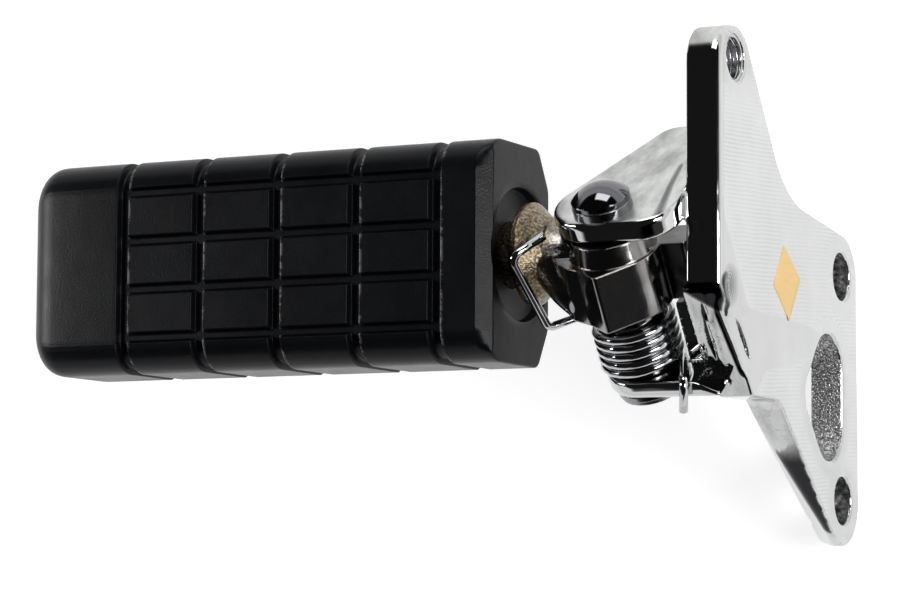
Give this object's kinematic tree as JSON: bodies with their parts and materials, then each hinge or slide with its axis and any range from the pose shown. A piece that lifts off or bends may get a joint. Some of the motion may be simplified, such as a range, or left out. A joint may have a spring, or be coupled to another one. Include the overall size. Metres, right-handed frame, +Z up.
{
  "type": "motorcycle footpeg",
  "caption": "Folding motorcycle footpeg: a ribbed rubber peg on a steel bar, hinged on a tilted pin with a coiled return spring in a forged bolt-on bracket.",
  "frame": {"origin": "centre of the middle bolt hole, on the machined mounting face", "axes": "+X inboard out of the mounting face, +Y forward, +Z up; the peg points to -X"},
  "size_m": [0.1628, 0.1066, 0.0947],
  "materials": {
    "bracket_chrome": "bright plated forging with a milled mounting face",
    "bar_steel": "plated steel, yellowed at the collar",
    "black_rubber": "satin black moulded rubber",
    "pin_chrome": "bright plated steel",
    "washer_steel": "plated steel",
    "clip_steel": "dark spring steel",
    "spring_steel": "bright spring wire"
  },
  "bodies": {
    "bracket": {"mounting_bracket": "bracket_chrome", "pivot_pin": "pin_chrome", "head_washer": "washer_steel", "end_washer": "washer_steel", "retaining_clip": "clip_steel", "return_spring": "spring_steel"},
    "peg": {"peg_bar": "bar_steel", "peg_rubber": "black_rubber"}
  },
  "joints": [
    {"name": "peg_fold", "type": "hinge", "parent": "bracket", "child": "peg", "pos_m": [-0.0235, -0.0053, 0.068], "axis": [0, 0.8192, 0.5736], "range_deg": [0, 85], "stiffness_Nm_per_rad": 0.5, "springref_deg": -34.38, "deforming": ["return_spring"]}
  ]
}
